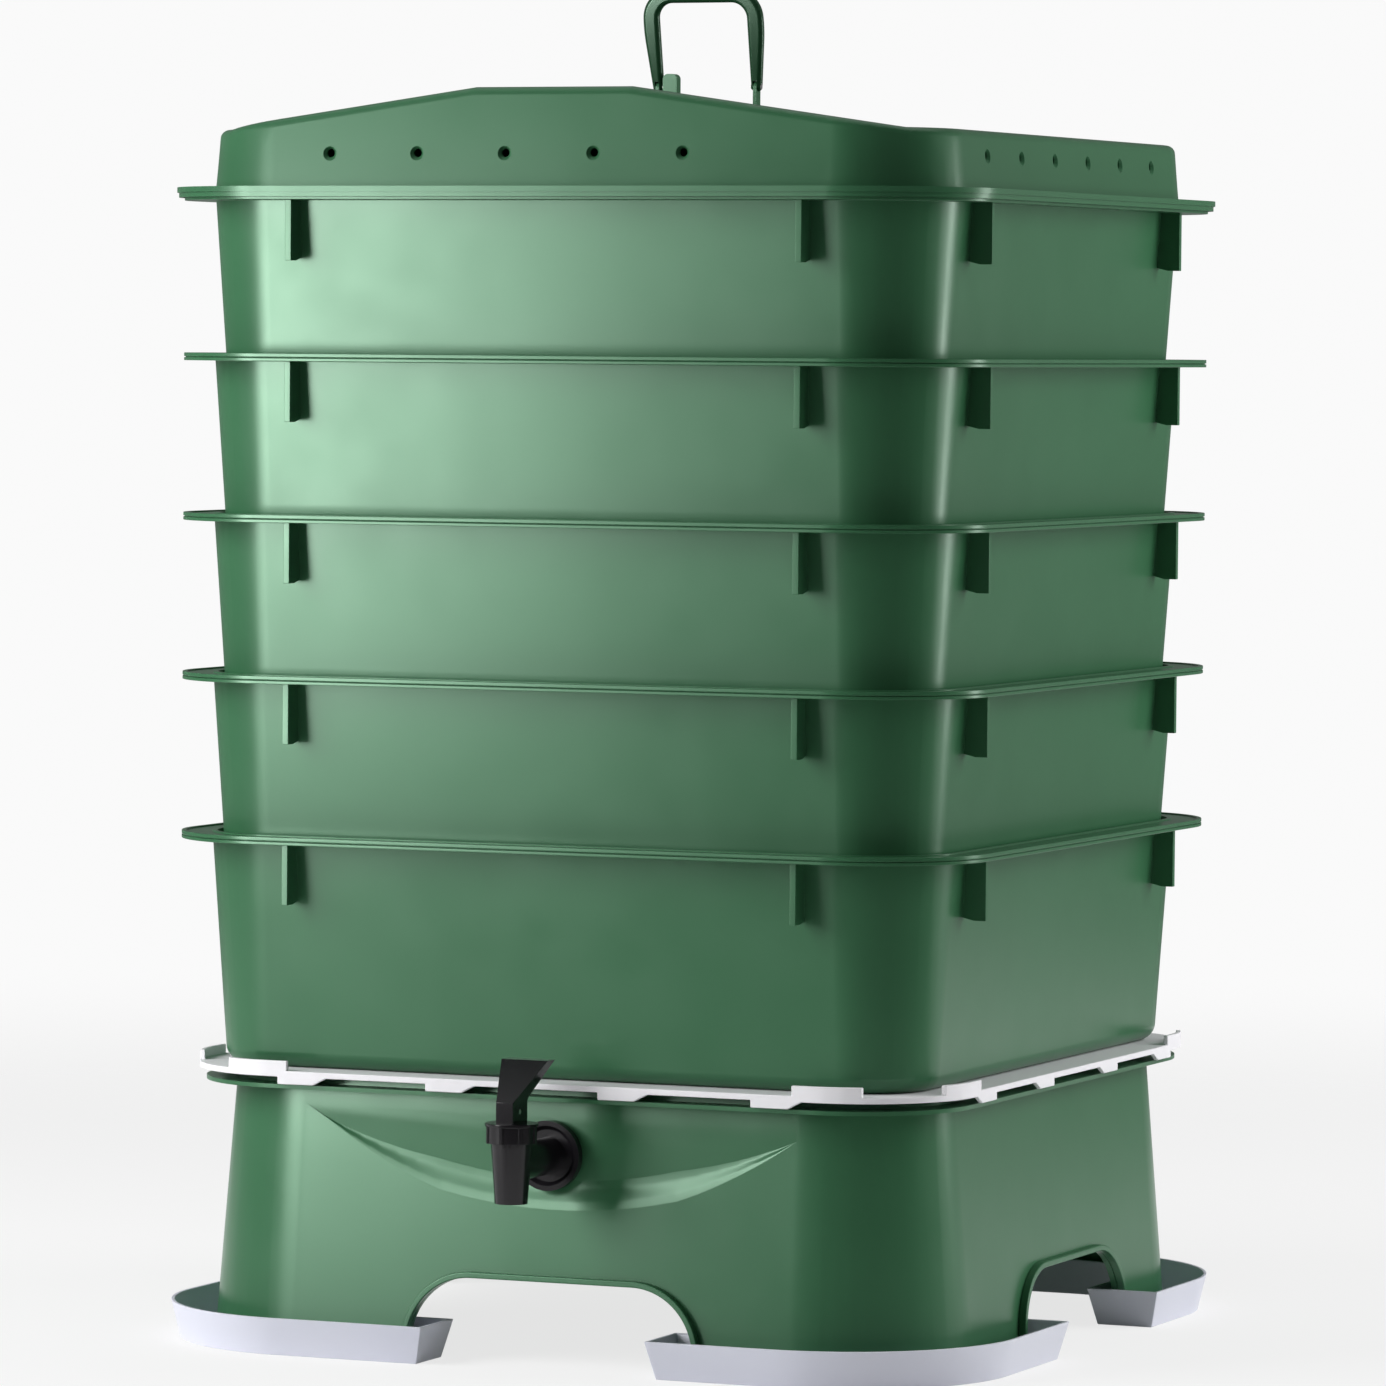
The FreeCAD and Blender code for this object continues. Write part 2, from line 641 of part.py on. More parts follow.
def make_tray(label):
    """A drafted tray with a drained floor, a two-band flange, outer fins and inner ledges."""
    body = new_body(label)
    foot = new_sketch(body, "TrayFoot")
    rounded_square(foot, "foot", "tray_foot_half", "tray_foot_half - tray_q")
    block = pad(body, foot, "tray_height", draft="tray_draft")
    round_edges(body, block, "tray_foot_round", at_level(0))

    inside = new_sketch(body, "TrayInside", offset="tray_floor")
    rounded_square(inside, "inside", "tray_inner_foot", "tray_inner_foot - tray_q")
    hollow = pocket(body, inside, "tray_height", draft="tray_draft", back=True)
    round_edges(body, hollow, "tray_foot_round - tray_wall", at_level(value("tray_floor")))

    bands = (
        ("Flange", "flange_under", "tray_inner_top", "tray_flange_thick - bead_height"),
        ("Bead", "tray_height - bead_height", "tray_flange_half - bead_width", "bead_height"),
    )
    for name, level, inner, thick in bands:
        ring = new_sketch(body, name, offset=level)
        rounded_square(ring, "outer", "tray_flange_half", "tray_flange_half - tray_q")
        rounded_square(ring, "inner", inner, f"{inner} - tray_q")
        pad(body, ring, thick)
    groove = new_sketch(body, "FlangeGroove", offset="flange_under + flange_groove_level")
    rounded_square(groove, "outer", "tray_flange_half * 1.1", "tray_flange_half * 1.1 - tray_q")
    rounded_square(groove, "inner", "tray_flange_half - flange_groove_depth",
                   "tray_flange_half - flange_groove_depth - tray_q")
    pocket(body, groove, "flange_groove_height", back=True)

    fin_outline = [
        ("0 - fin_edge", "flange_under"),
        ("0 - fin_edge", "flange_under - fin_drop"),
        ("0 - fin_edge + fin_flat", "flange_under - fin_drop"),
        ("0 - fin_root_low", "flange_under - fin_drop + fin_rise"),
        ("0 - fin_root_top", "flange_under"),
    ]
    ledge_outline = [
        ("0 - ledge_wall + ledge_reach", "tray_pitch"),
        ("0 - ledge_wall", "tray_pitch"),
        ("0 - ledge_root", "tray_pitch - ledge_drop"),
    ]
    ribs = []
    for name, outline, offset, thick in (("Fin", fin_outline, "fin_offset", "fin_thick"),
                                         ("Ledge", ledge_outline, "ledge_offset", "ledge_thick")):
        profile = new_sketch(body, name, plane="YZ_Plane", offset=offset)
        polygon(profile, name, outline)
        ribs.append(pad(body, profile, thick, midplane=True))
    around = [("Mirrored", "MirrorPlane", "YZ_Plane", {}),
              ("PolarPattern", "Axis", "Z_Axis", {"Angle": "360", "Occurrences": "4"})]
    multi_transform(body, "RibsAround", ribs, around)

    drain = new_sketch(body, "Drain")
    start = "0 - drain_pitch * (drain_count - 1) / 2"
    circle(drain, "drain", "drain_hole / 2", start, start)
    hole = pocket(body, drain, "tray_floor * 2", back=True)
    span = "drain_pitch * (drain_count - 1)"
    rows = [("LinearPattern", "Direction", axis, {"Length": span, "Occurrences": "drain_count"})
            for axis in ("X_Axis", "Y_Axis")]
    multi_transform(body, "DrainHoles", [hole], rows)
    return body


def make_trays():
    """The lowest tray and four copies of it, nested one above the other."""
    lowest = place(make_tray("tray_5"), z="trays_bottom")
    trays = [lowest]
    for number in (4, 3, 2, 1):
        copy = new_body(f"tray_{number}")
        base = copy.newObject("PartDesign::FeatureBase", f"Tray{number}Copy")
        base.BaseFeature = lowest
        copy.Tip = base
        trays.append(place(copy, z=f"trays_bottom + {5 - number} * tray_pitch"))
    return trays


# Lid

def lid_block(label, inset):
    """The lid's skirt as a solid block, smaller all round by inset, under a gabled roof whose
    ridge falls towards the rear between level eaves."""
    body = new_body(label)
    skirt = new_sketch(body, label + "Skirt")
    rounded_square(skirt, "skirt", f"lid_skirt_half - {inset}", f"lid_corner - {inset}")
    pad(body, skirt, "lid_ridge_height", draft="0 - lid_draft")
    far = "lid_flange_half * 2"
    eave = f"lid_eave_height - {inset}"
    sky = "lid_ridge_height * 2"
    ends = (
        ("RoofFront", "lid_skirt_half", "lid_roof_half", f"lid_ridge_height - {inset}"),
        ("RoofRear", "0 - lid_skirt_half", "rear_roof_half", f"lid_ridge_height - roof_fall - {inset}"),
    )
    outlines = []
    for name, offset, half, ridge in ends:
        outline = new_sketch(body, label + name, plane="XZ_Plane", offset=offset)
        polygon(outline, "roof", [
            (f"0 - {far}", eave), (f"0 - {half}", eave), ("0 - lid_ridge_half", ridge),
            ("lid_ridge_half", ridge), (half, eave), (far, eave), (far, sky), (f"0 - {far}", sky),
        ])
        outlines.append(outline)
    roof = body.newObject("PartDesign::SubtractiveLoft", label + "Roof")
    roof.Profile = outlines[0]
    roof.Sections = [outlines[1]]
    roof.Ruled = True
    return body, roof


def is_roof_border(edge):
    """The edges where the roof meets the skirt, but not the roof's creases, which run from front to rear."""
    bounds = edge.BoundBox
    above_eave = bounds.ZMin > value("lid_eave_height") - 0.1
    return above_eave and bounds.YLength < value("lid_skirt_half") * 1.8


def make_lid():
    """Gabled cover with a flange, a lip over the tray's flange, vents, ears and a stop for the handle."""
    outer, roof = lid_block("lid_outer", "0")
    round_edges(outer, roof, "lid_round", is_roof_border)
    cavity, _ = lid_block("lid_cavity", "lid_wall")

    flange = new_body("lid_flange")
    rings = (
        ("LidFlange", "0", "lid_flange_half", "lid_flange_corner", "lid_cavity_half", "lid_corner - lid_wall",
         "lid_flange_thick"),
        ("LidLip", "0 - lid_lip_drop", "lid_lip_half", "lid_lip_corner", "lid_lip_half - lid_lip_thick",
         "lid_lip_corner - lid_lip_thick", "lid_lip_drop"),
    )
    for name, level, half, corner, inner, inner_corner, thick in rings:
        ring = new_sketch(flange, name, offset=level)
        rounded_square(ring, "outer", half, corner)
        rounded_square(ring, "inner", inner, inner_corner)
        pad(flange, ring, thick)

    fittings = []
    bores = []
    pivot = "lid_ridge_height + pivot_height"
    for sign, name in (("1", "right"), ("-1", "left")):
        near = f"({sign}) * handle_foot_centre - ear_thick / 2"
        fittings.append(box(name + "_ear", near, "0 - handle_thick / 2", "lid_eave_height",
                            "ear_thick", "handle_thick", f"{pivot} - lid_eave_height"))
        fittings.append(rod(name + "_ear_top", "handle_thick / 2", "ear_thick", near, pivot))
        bores.append(rod(name + "_ear_bore", "pin_radius", "ear_thick * 3", f"{near} - ear_thick", pivot))
    stop = new_body("handle_stop")
    stop_plan = new_sketch(stop, "StopOutline", plane="XZ_Plane")
    rounded_rectangle(stop_plan, "stop", "stop_width / 2", "stop_height", "stop_width * 0.35",
                      x="0 - foot_inner + side_clearance * 4 + stop_width / 2", y="lid_ridge_height")
    pad(stop, stop_plan, "stop_depth", midplane=True)
    fittings.append(stop)

    shell = boolean("MultiFuse", "lid_shell", outer, flange, *fittings)
    vents = make_vents()
    cuts = boolean("MultiFuse", "lid_cuts", cavity, *bores, *vents)
    cuts.Refine = False
    return place(boolean("Cut", "lid", shell, cuts), z="lid_bottom")


def make_vents():
    """Rows of countersunk holes: five on the front and six on each other face."""
    sides = (("front", -90, 5), ("right", 0, 6), ("rear", 90, 6), ("left", 180, 6))
    wall_here = "lid_skirt_half - vent_height * tan(lid_draft)"
    rows = []
    for side, turn, count in sides:
        body = new_body(side + "_vents")
        cuts = (
            ("Hole", f"{wall_here} - lid_wall * 2", "lid_wall * 4", None),
            ("Rim", f"{wall_here} - vent_rim", "vent_rim * 2", "45"),
        )
        for part, start, length, draft in cuts:
            profile = new_sketch(body, side + part, plane="YZ_Plane", offset=start)
            for index in range(count):
                along = f"vent_pitch * ({index} - 2.5)"
                circle(profile, f"vent{index}", "vent_hole / 2", along, "vent_height")
            pad(body, profile, length, draft=draft)
        body.Placement.Rotation = FreeCAD.Rotation(FreeCAD.Vector(0, 0, 1), turn)
        rows.append(body)
    return rows


# Handle

def make_handle():
    """A bail with forked feet, in its own upright frame with the pivot axis along X through the origin."""
    body = new_body("handle")
    outline = new_sketch(body, "BailOutline", plane="XZ_Plane")
    low = "0 - handle_thick / 2"
    right = [("foot_outer", low), ("handle_bow", "handle_bow_height"),
             ("handle_bow - bow_return", "handle_top")]
    left = [(f"0 - ({x})", z) for x, z in reversed(right)]
    inner = [("0 - foot_inner", low), ("0 - foot_inner", "handle_inner_height"),
             ("foot_inner", "handle_inner_height"), ("foot_inner", low)]
    polygon(outline, "bail", right + left + inner)
    bail = pad(body, outline, "handle_thick", midplane=True)

    def across_at(z_low, z_high):
        def wanted(edge):
            bounds = edge.BoundBox
            across = bounds.XLength < 0.01 and bounds.ZLength < 0.01
            return across and z_low < bounds.ZMin < z_high
        return wanted

    top = value("handle_top")
    shoulders = round_edges(body, bail, "handle_outer_round", across_at(top - 0.1, top + 0.1))
    inner_level = value("handle_inner_height")
    armpits = round_edges(body, shoulders, "handle_inner_round",
                          across_at(inner_level - 0.1, inner_level + 0.1))
    bow_level = value("handle_bow_height")
    bows = round_edges(body, armpits, "handle_bow_round", across_at(bow_level - 0.1, bow_level + 0.1))
    foot_level = -value("handle_thick") / 2

    def is_foot_end(edge):
        bounds = edge.BoundBox
        return bounds.ZLength < 0.01 and bounds.YLength < 0.01 and abs(bounds.ZMin - foot_level) < 0.01

    feet = round_edges(body, bows, "handle_thick / 2 - 0.05", is_foot_end)
    above_foot = value("handle_thick")

    def is_long_edge(edge):
        bounds = edge.BoundBox
        return bounds.YLength < 0.01 and bounds.ZMax > above_foot

    last = round_edges(body, feet, "handle_edge_round", is_long_edge)
    body.Tip = last

    slots = new_sketch(body, "ForkSlots", plane="XZ_Plane")
    reach = "handle_thick / 2 + side_clearance * 5"
    for sign, name in (("1", "right"), ("-1", "left")):
        middle = f"({sign}) * handle_foot_centre"
        left_side, right_side = f"{middle} - ear_slot / 2", f"{middle} + ear_slot / 2"
        polygon(slots, name, [(left_side, f"0 - ({reach})"), (right_side, f"0 - ({reach})"),
                              (right_side, reach), (left_side, reach)])
    pocket(body, slots, "handle_thick * 2", midplane=True)
    bores = new_sketch(body, "PinBores", plane="YZ_Plane")
    circle(bores, "bore", "pin_radius + pin_clearance")
    pocket(body, bores, "handle_bow * 3", midplane=True)
    body.Placement.Rotation = FreeCAD.Rotation(FreeCAD.Vector(1, 0, 0), value("handle_lean"))
    return place(body, z="pivot_level")


def make_pin_group(label, radius, length, centres, y, z):
    """Equal pins along X as one group of separate solids."""
    pins = [rod(f"{label}_{index}", radius, length, f"{centre} - {length} / 2", "0")
            for index, centre in enumerate(centres)]
    group = doc.addObject("Part::Compound", label)
    group.Label = label
    group.Links = pins
    return place(group, y=y, z=z)


# Tap, built with its outlet's axis at x = 0, y = 0 and the floor at z = 0

def place_tap(item):
    return place(item, x="tap_shift", y="axis_y - tap_axis")


def turned(label, parts, axis="Z_Axis", plane="XZ_Plane"):
    """A turned piece from closed half outlines, each a list of (radius, height) formulas."""
    body = new_body(label)
    for name, points in parts:
        sketch = new_sketch(body, label + name, plane=plane)
        polygon(sketch, name, points)
        revolve(body, sketch, axis)
    return body


def along_wall(label, points):
    """A piece turned about the barrel's axis; points are (radius, distance from the outlet's axis)."""
    return turned(label, [("Outline", points)], axis="Y_Axis", plane="XY_Plane")


def ring_on_shank(label, outer, inner, start, thick):
    """A ring round the shank; start is its distance from the outlet's axis."""
    end = f"{start} + {thick}"
    return along_wall(label, [(inner, start), (outer, start), (outer, end), (inner, end)])


def make_tap_body():
    """Tapered nozzle with a seat, stout barrel, dished flange and threaded shank."""
    outer_half = [("0", "nozzle_bottom"), ("nozzle_tip_radius", "nozzle_bottom"),
                  ("nozzle_top_radius", "nozzle_top"), ("nozzle_top_radius", "bonnet_under"),
                  ("0", "bonnet_under")]
    nozzle = turned("tap_nozzle", [("Nozzle", outer_half)])
    wall_gap = "tap_reach - washer_thick"
    face = f"{wall_gap} - tap_flange_thick"
    end = "tap_reach + shank_length"
    barrel_half = [
        ("0", "0"),
        ("barrel_radius", "0"),
        ("barrel_radius", f"{face} + tap_dish"),
        ("tap_dish_radius - tap_dish", f"{face} + tap_dish"),
        ("tap_dish_radius", face),
        ("tap_flange_radius", face),
        ("tap_flange_radius", wall_gap),
        ("shank_radius", wall_gap),
        ("shank_radius", end),
        ("0", end),
    ]
    barrel = along_wall("tap_barrel", barrel_half)
    bind(barrel, "Placement.Base.z", "tap_height")
    solid = boolean("MultiFuse", "tap_solid", nozzle, barrel)

    bore_half = [
        ("0", "nozzle_bottom - 1"),
        ("nozzle_bore", "nozzle_bottom - 1"),
        ("nozzle_bore", "seat_height"),
        ("seat_hole", "seat_height"),
        ("seat_hole", "seat_level"),
        ("chamber_radius", "seat_level"),
        ("chamber_radius", "bonnet_under + 1"),
        ("0", "bonnet_under + 1"),
    ]
    bore = turned("tap_chamber", [("Chamber", bore_half)])
    inlet_half = [("0", "0"), ("barrel_bore", "0"), ("barrel_bore", f"{end} + 1"), ("0", f"{end} + 1")]
    inlet = along_wall("tap_inlet", inlet_half)
    bind(inlet, "Placement.Base.z", "tap_height")
    hollow = boolean("MultiFuse", "tap_hollow", bore, inlet)
    return place_tap(boolean("Cut", "tap_body", solid, hollow))


def make_bonnet():
    """Ribbed cap over the neck, with a thin lip at its top."""
    skirt_inner = "nozzle_top_radius + stem_clearance"
    outline = [
        (skirt_inner, "nozzle_top"),
        ("bonnet_radius", "nozzle_top"),
        ("bonnet_radius", "bonnet_level - bonnet_lip_height"),
        ("bonnet_radius + bonnet_lip", "bonnet_level - bonnet_lip_height"),
        ("bonnet_radius + bonnet_lip", "bonnet_level"),
        ("stem_radius + stem_clearance", "bonnet_level"),
        ("stem_radius + stem_clearance", "bonnet_under"),
        (skirt_inner, "bonnet_under"),
    ]
    body = turned("tap_bonnet", [("Cap", outline)])
    rib = new_sketch(body, "BonnetRib", offset="nozzle_top")
    polygon(rib, "rib", [("bonnet_radius - 1", "0 - rib_width / 2"),
                         ("bonnet_radius + rib_proud", "0 - rib_width / 2"),
                         ("bonnet_radius + rib_proud", "rib_width / 2"),
                         ("bonnet_radius - 1", "rib_width / 2")])
    rib_pad = pad(body, rib, "bonnet_height - bonnet_lip_height")
    ribs = body.newObject("PartDesign::PolarPattern", "BonnetRibs")
    ribs.Originals = [rib_pad]
    ribs.Axis = (origin_part(body, "Z_Axis"), [""])
    ribs.Angle = 360
    bind(ribs, "Occurrences", "rib_count")
    body.Tip = ribs
    return place_tap(body)


def make_stem():
    """Rod with a collar under the spring; the lever's pin goes through its top."""
    outline = [
        ("0", "cup_level - cup_height / 2"),
        ("stem_radius", "cup_level - cup_height / 2"),
        ("stem_radius", "cup_level"),
        ("stem_collar_radius", "cup_level"),
        ("stem_collar_radius", "spring_bottom"),
        ("stem_radius", "spring_bottom"),
        ("stem_radius", "lever_pin_level + stem_radius"),
        ("0", "lever_pin_level + stem_radius"),
    ]
    body = turned("tap_stem", [("Rod", outline)])
    eye = new_sketch(body, "StemEye", plane="YZ_Plane")
    circle(eye, "eye", "lever_pin_radius + pin_clearance", "0", "lever_pin_level")
    pocket(body, eye, "stem_radius * 4", midplane=True)
    return place_tap(body)


def make_seat_cup():
    """Rubber cup on the stem's foot that closes the seat."""
    half = "cup_level - cup_height / 2"
    outline = [("0", "seat_level"), ("cup_radius - 1", "seat_level"), ("cup_radius", "seat_level + 1"),
               ("cup_radius", "cup_level"), ("stem_radius", "cup_level"), ("stem_radius", half), ("0", half)]
    return place_tap(turned("tap_seat_cup", [("Cup", outline)]))


def make_spring():
    """Coil between the stem's collar and the bonnet, one unbroken round wire."""
    wire = value("spring_wire")
    radius = value("spring_radius")
    height = value("bonnet_under") - value("spring_bottom") - 2 * wire
    pitch = height / value("spring_turns")
    helix = Part.makeHelix(pitch, height, radius)
    section = Part.Wire(Part.makeCircle(wire, FreeCAD.Vector(radius, 0, 0), FreeCAD.Vector(0, 1, 0)))
    coil = Part.Wire(helix).makePipeShell([section], True, True)
    spring = doc.addObject("Part::Feature", "tap_spring")
    spring.Label = "tap_spring"
    spring.Shape = coil
    print("spring gap between turns", round(pitch - 2 * wire, 2))
    return place(spring, x="tap_shift", y="axis_y - tap_axis", z=f"spring_bottom + {wire}")


def make_lever():
    """Block on the bonnet with a slot for the stem, and a flared paddle that leans back."""
    side = new_body("lever_side")
    side_outline = new_sketch(side, "LeverSide", plane="YZ_Plane")
    front = "0 - lever_depth / 2"
    top = "bonnet_level + lever_top_height"
    shoulder = "bonnet_level + lever_block_height"
    polygon(side_outline, "side", [
        (front, "bonnet_level"), ("lever_depth / 2", "bonnet_level"),
        ("lever_depth / 2", f"{shoulder} + 2"),
        (f"{front} + lever_lean + lever_tip_depth", top),
        (f"{front} + lever_lean", top),
        (front, shoulder),
    ])
    pad(side, side_outline, "lever_top_half * 4", midplane=True)
    face = new_body("lever_face")
    face_outline = new_sketch(face, "LeverFace", plane="XZ_Plane")
    half = "lever_width / 2"
    polygon(face_outline, "face", [
        (f"0 - {half}", "bonnet_level"), (half, "bonnet_level"), (half, shoulder), ("lever_top_half", top),
        ("0 - lever_top_half", top), (f"0 - {half}", shoulder),
    ])
    pad(face, face_outline, "lever_depth * 6", midplane=True)
    blank = boolean("Common", "lever_blank", side, face)
    slot = box("lever_slot", "0 - stem_radius - stem_clearance", "0 - lever_slot_half", "bonnet_level - 1",
               "stem_radius * 2 + stem_clearance * 2", "lever_slot_half * 2",
               "lever_pin_height + stem_radius + 2")
    bore = rod("lever_bore", "lever_pin_radius", "lever_width * 2", "0 - lever_width", "lever_pin_level")
    cuts = boolean("MultiFuse", "lever_cuts", slot, bore)
    return place_tap(boolean("Cut", "tap_lever", blank, cuts))


def make_tap():
    """All pieces of the tap, from the wall's nut to the lever."""
    nodes = [make_tap_body(), make_bonnet(), make_stem(), make_seat_cup(), make_spring(), make_lever()]
    rings = (
        ("tap_outer_washer", "washer_radius", "shank_radius", "tap_reach - washer_thick", "washer_thick"),
        ("tap_inner_washer", "washer_radius", "shank_radius", "tap_reach + tap_flat_wall", "washer_thick"),
    )
    for label, outer, inner, start, thick in rings:
        ring = ring_on_shank(label, outer, inner, start, thick)
        nodes.append(place(ring, x="tap_shift", y="axis_y - tap_axis", z="tap_height"))
    nodes.append(make_nut())
    nodes.append(make_pin_group("tap_lever_pin", "lever_pin_radius", "lever_width", ["tap_shift"],
                                "axis_y - tap_axis", "lever_pin_level"))
    return nodes


def make_nut():
    """Six-sided nut on the shank behind the wall."""
    nut = doc.addObject("Part::Prism", "nut_blank")
    nut.Polygon = 6
    bind(nut, "Circumradius", "nut_radius")
    bind(nut, "Height", "nut_thick")
    hole = doc.addObject("Part::Cylinder", "nut_hole")
    bind(hole, "Radius", "shank_radius")
    bind(hole, "Height", "nut_thick")
    ring = boolean("Cut", "tap_nut", nut, hole)
    ring.Placement.Rotation = FreeCAD.Rotation(FreeCAD.Vector(1, 0, 0), -90)
    return place(ring, x="tap_shift", y="axis_y - tap_back + washer_thick", z="tap_height")


def check_document():
    """Stops on any object that failed to compute."""
    for item in doc.Objects:
        if "Invalid" in item.State or "Error" in item.State:
            raise RuntimeError(f"{item.Label}: {item.State}")


def write_nodes(nodes):
    """Checks every piece and writes it to parts/NODE.step."""
    for node in nodes:
        if node.Shape.isNull() or not node.Shape.isValid():
            raise RuntimeError(f"{node.Label}: bad shape")
    os.makedirs("parts", exist_ok=True)
    for node in nodes:
        node.Shape.exportStep(f"parts/{node.Label}.step")


def main():
    make_sizes()
    pans = [
        make_pan("moat_pan_front_right", "1", "-1"),
        make_pan("moat_pan_front_left", "-1", "-1"),
        make_pan("moat_pan_rear_right", "1", "1"),
        make_pan("moat_pan_rear_left", "-1", "1"),
    ]
    nodes = [*pans, *make_stand(), make_frame(), *make_trays(), make_lid(), make_handle()]
    nodes.append(make_pin_group("handle_pins", "pin_radius", "handle_foot_width",
                                ["handle_foot_centre", "0 - handle_foot_centre"], "axis_y", "pivot_level"))
    nodes += make_tap()
    doc.recompute()
    check_document()
    write_nodes(nodes)
    for node in nodes:
        bounds = node.Shape.BoundBox
        print(f"{node.Label}: {len(node.Shape.Solids)} solid(s), volume {node.Shape.Volume / 1000:.1f} cm3,",
              f"z {bounds.ZMin:.1f} to {bounds.ZMax:.1f}")


main()
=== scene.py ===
import math

import bmesh
import bpy
from mathutils import Matrix, Vector


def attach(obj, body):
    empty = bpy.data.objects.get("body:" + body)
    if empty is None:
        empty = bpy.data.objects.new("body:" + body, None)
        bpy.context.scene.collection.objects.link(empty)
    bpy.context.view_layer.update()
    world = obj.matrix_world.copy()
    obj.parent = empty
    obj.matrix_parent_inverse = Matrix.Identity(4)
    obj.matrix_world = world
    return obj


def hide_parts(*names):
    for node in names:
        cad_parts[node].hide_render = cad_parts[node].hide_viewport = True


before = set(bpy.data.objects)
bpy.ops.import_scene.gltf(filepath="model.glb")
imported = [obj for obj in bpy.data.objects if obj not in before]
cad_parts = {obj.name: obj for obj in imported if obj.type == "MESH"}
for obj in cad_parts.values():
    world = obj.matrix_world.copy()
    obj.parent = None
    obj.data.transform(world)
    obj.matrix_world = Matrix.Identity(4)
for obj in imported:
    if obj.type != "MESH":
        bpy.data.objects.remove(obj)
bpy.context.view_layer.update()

# Sizes in metres, in the frame of the object: +Z up, the tap faces -Y.
AXIS_Y = 0.0143559
STAND_TOP = 0.1345
STAND_TOP_HALF = 0.1882
STAND_SLOPE = math.tan(math.radians(4.6))

# The tap's flat is sunk into the stand's front below the arc of a large circle, its centre given as x and z.
FLAT_CENTRE = (0.007, 0.3527)
FLAT_RADIUS = 0.2687
FLAT_BACK = 0.1893

# The soft fold in place of the flat's step: its width, its reach each way along X, the length over which it
# fades out there, and how many cuts the step gets.
FOLD_WIDTH = 0.014
FOLD_REACH = 0.1235
FOLD_FADE = 0.06
FOLD_BELOW = STAND_TOP - 0.006
FOLD_CUTS = 7

# The drain frame's hanging tabs: where their slanted ends lie along a side, and how far a slant goes.
TAB_ENDS = (-0.112, -0.0325, 0.0585, 0.138)
TAB_SLANT = 0.007
TABS_FROM = 0.2
TABS_BELOW = STAND_TOP - 0.003

# The square that holds all of a tray's drain holes.
DRAIN_FIELD_HALF = 0.15

# Points closer than MERGE are one; faces that meet within FLAT_ANGLE are one; edges past CREASE are rounded.
MERGE = 0.000002
FLAT_ANGLE = math.radians(0.4)
CREASE = math.radians(35)

TRAYS = ("tray_5", "tray_4", "tray_3", "tray_2", "tray_1")
COLLARS = ("arch_collar_front", "arch_collar_rear", "arch_collar_right", "arch_collar_left")
PANS = ("moat_pan_front_right", "moat_pan_front_left", "moat_pan_rear_right", "moat_pan_rear_left")


# Materials

CLOUD_LOW, CLOUD_HIGH = 0.3, 0.7  # the span that most of a noise texture's values lie in
RIPPLE_DEPTH = 0.00004
GRAIN_DEPTH = 0.000006
GREEN_SHEEN = (0.69, 1.0, 0.78)


def new_material(name):
    material = bpy.data.materials.new(name)
    material.use_nodes = True
    tree = material.node_tree
    shader = tree.nodes["Principled BSDF"]
    position = tree.nodes.new("ShaderNodeTexCoord")
    return material, tree, shader, position.outputs["Object"]


def noise(tree, position, scale, detail, stretch=(1, 1, 1)):
    """A cloudy pattern fixed to the piece; stretch draws it out along an axis."""
    mapping = tree.nodes.new("ShaderNodeMapping")
    mapping.inputs["Scale"].default_value = stretch
    texture = tree.nodes.new("ShaderNodeTexNoise")
    texture.inputs["Scale"].default_value = scale
    texture.inputs["Detail"].default_value = detail
    tree.links.new(position, mapping.inputs["Vector"])
    tree.links.new(mapping.outputs["Vector"], texture.inputs["Vector"])
    return texture.outputs["Fac"]


def between(tree, factor, low, high):
    """Maps a cloudy pattern's middle range onto low to high."""
    span = tree.nodes.new("ShaderNodeMapRange")
    span.inputs["From Min"].default_value = CLOUD_LOW
    span.inputs["From Max"].default_value = CLOUD_HIGH
    span.inputs["To Min"].default_value = low
    span.inputs["To Max"].default_value = high
    tree.links.new(factor, span.inputs["Value"])
    return span.outputs["Result"]


def mixed_colour(tree, factor, low, high):
    ramp = tree.nodes.new("ShaderNodeValToRGB")
    ramp.color_ramp.elements[0].position = CLOUD_LOW
    ramp.color_ramp.elements[0].color = (*low, 1)
    ramp.color_ramp.elements[1].position = CLOUD_HIGH
    ramp.color_ramp.elements[1].color = (*high, 1)
    tree.links.new(factor, ramp.inputs["Fac"])
    return ramp.outputs["Color"]


def add_bump(tree, shader, layers):
    """Stacks bumps, each a pattern with its depth in metres."""
    previous = None
    for pattern, depth in layers:
        bump = tree.nodes.new("ShaderNodeBump")
        bump.inputs["Strength"].default_value = 1.0
        bump.inputs["Distance"].default_value = depth
        tree.links.new(pattern, bump.inputs["Height"])
        if previous:
            tree.links.new(previous, bump.inputs["Normal"])
        previous = bump.outputs["Normal"]
    tree.links.new(previous, shader.inputs["Normal"])


def moulded_plastic(name, low, high, rough, specular=0.5, tint=(1, 1, 1), subsurface=0.0):
    """Moulded plastic: a faint drift of tone, an uneven sheen, slow ripples and a fine grain."""
    material, tree, shader, position = new_material(name)
    drift = noise(tree, position, 6.0, 3.0)
    tree.links.new(mixed_colour(tree, drift, low, high), shader.inputs["Base Color"])
    sheen = noise(tree, position, 30.0, 4.0)
    tree.links.new(between(tree, sheen, rough[0], rough[1]), shader.inputs["Roughness"])
    shader.inputs["Specular IOR Level"].default_value = specular
    shader.inputs["Specular Tint"].default_value = (*tint, 1)
    if subsurface:
        shader.inputs["Subsurface Weight"].default_value = subsurface
        shader.inputs["Subsurface Scale"].default_value = 0.004
        shader.inputs["Subsurface Radius"].default_value = (1.0, 1.0, 1.0)
    slow = noise(tree, position, 9.0, 1.0)
    fine = noise(tree, position, 900.0, 2.0)
    add_bump(tree, shader, ((slow, RIPPLE_DEPTH), (fine, GRAIN_DEPTH)))
    return material


